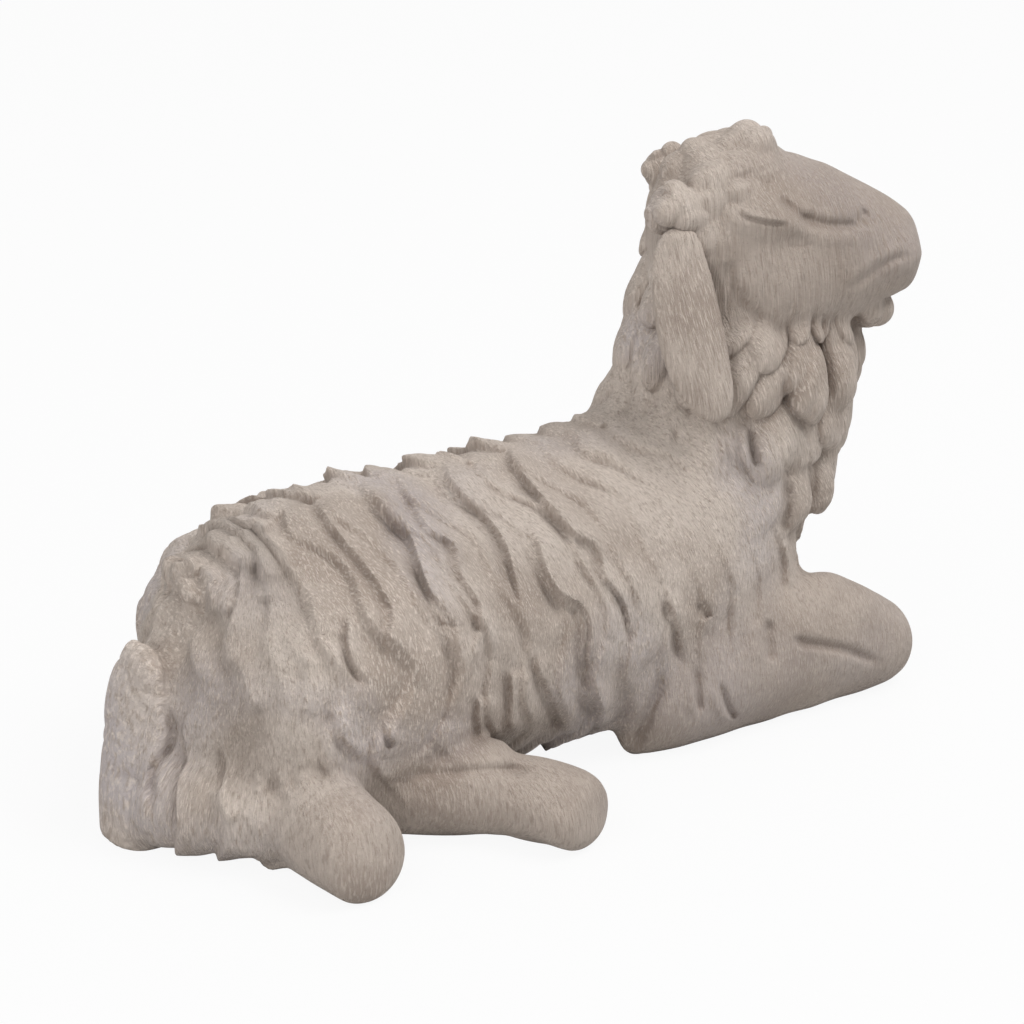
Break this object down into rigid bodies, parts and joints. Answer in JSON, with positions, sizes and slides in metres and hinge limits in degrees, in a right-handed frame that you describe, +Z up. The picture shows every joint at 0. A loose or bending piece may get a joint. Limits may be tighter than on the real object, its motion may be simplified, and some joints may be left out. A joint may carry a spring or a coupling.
{
  "type": "sheep figurine",
  "caption": "Carved bare-wood ornament of a sheep lying with folded legs, head raised and turned to its right, on a flat underside.",
  "frame": {"origin": "middle of the trunk's length on the flat underside that the figurine rests on", "axes": "+X from the tail to the chest, +Y to the sheep's left, +Z up"},
  "size_m": [0.1562, 0.0807, 0.1072],
  "materials": {
    "fleece_wood": "bare carved wood, grey-taupe, matt, gouge-cut ridges with fine torn fibre",
    "smooth_wood": "bare wood scraped and sanded smooth, matt, with faint end grain",
    "dowel_wood": "turned hardwood dowel, glued"
  },
  "bodies": {
    "root": {"trunk_block": "fleece_wood", "neck_block": "fleece_wood", "head_block": "fleece_wood", "right_haunch": "fleece_wood", "left_haunch": "fleece_wood", "tail": "fleece_wood", "right_foreleg": "smooth_wood", "left_foreleg": "smooth_wood", "right_hind_foot": "smooth_wood", "left_hind_foot": "smooth_wood", "right_ear": "smooth_wood", "left_ear": "smooth_wood", "neck_dowels": "dowel_wood", "head_dowels": "dowel_wood", "right_haunch_dowels": "dowel_wood", "left_haunch_dowels": "dowel_wood", "right_foreleg_dowels": "dowel_wood", "left_foreleg_dowels": "dowel_wood", "right_hind_foot_dowel": "dowel_wood", "left_hind_foot_dowel": "dowel_wood", "tail_dowel": "dowel_wood"}
  },
  "joints": []
}
